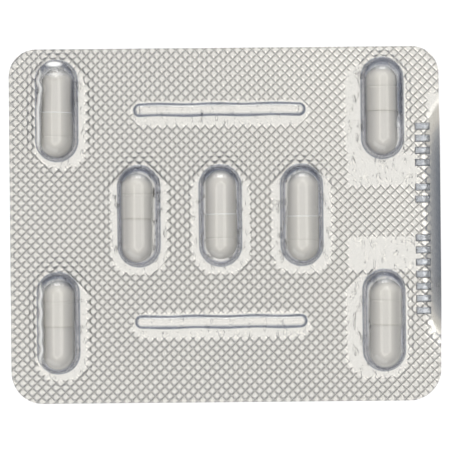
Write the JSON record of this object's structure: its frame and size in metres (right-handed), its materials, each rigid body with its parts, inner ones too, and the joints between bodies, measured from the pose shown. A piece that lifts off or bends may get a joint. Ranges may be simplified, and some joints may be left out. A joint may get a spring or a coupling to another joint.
{
  "type": "capsule blister pack",
  "caption": "Clear thermoformed blister with hard capsules in domed pockets, stiffening ribs and a diamond-embossed aluminium lidding foil.",
  "frame": {"origin": "middle of the lidding foil's back, on the surface that the pack lies on", "axes": "+X across the card to the code strip's side, +Y up the card, +Z out of the pockets"},
  "size_m": [0.094, 0.0776, 0.0079],
  "materials": {
    "clear_film": "clear, glossy",
    "foil": "hard foil, embossed with diamonds",
    "cap_shell": "opaque gelatin, satin",
    "body_shell": "opaque gelatin, satin",
    "powder": "packed powder"
  },
  "bodies": {
    "root": {"formed_film": "clear_film", "lidding_foil": "foil", "capsule_cap_1": "cap_shell", "capsule_cap_2": "cap_shell", "capsule_cap_3": "cap_shell", "capsule_cap_4": "cap_shell", "capsule_cap_5": "cap_shell", "capsule_cap_6": "cap_shell", "capsule_cap_7": "cap_shell", "capsule_body_1": "body_shell", "capsule_body_2": "body_shell", "capsule_body_3": "body_shell", "capsule_body_4": "body_shell", "capsule_body_5": "body_shell", "capsule_body_6": "body_shell", "capsule_body_7": "body_shell", "powder_fill_1": "powder", "powder_fill_2": "powder", "powder_fill_3": "powder", "powder_fill_4": "powder", "powder_fill_5": "powder", "powder_fill_6": "powder", "powder_fill_7": "powder"}
  },
  "joints": []
}
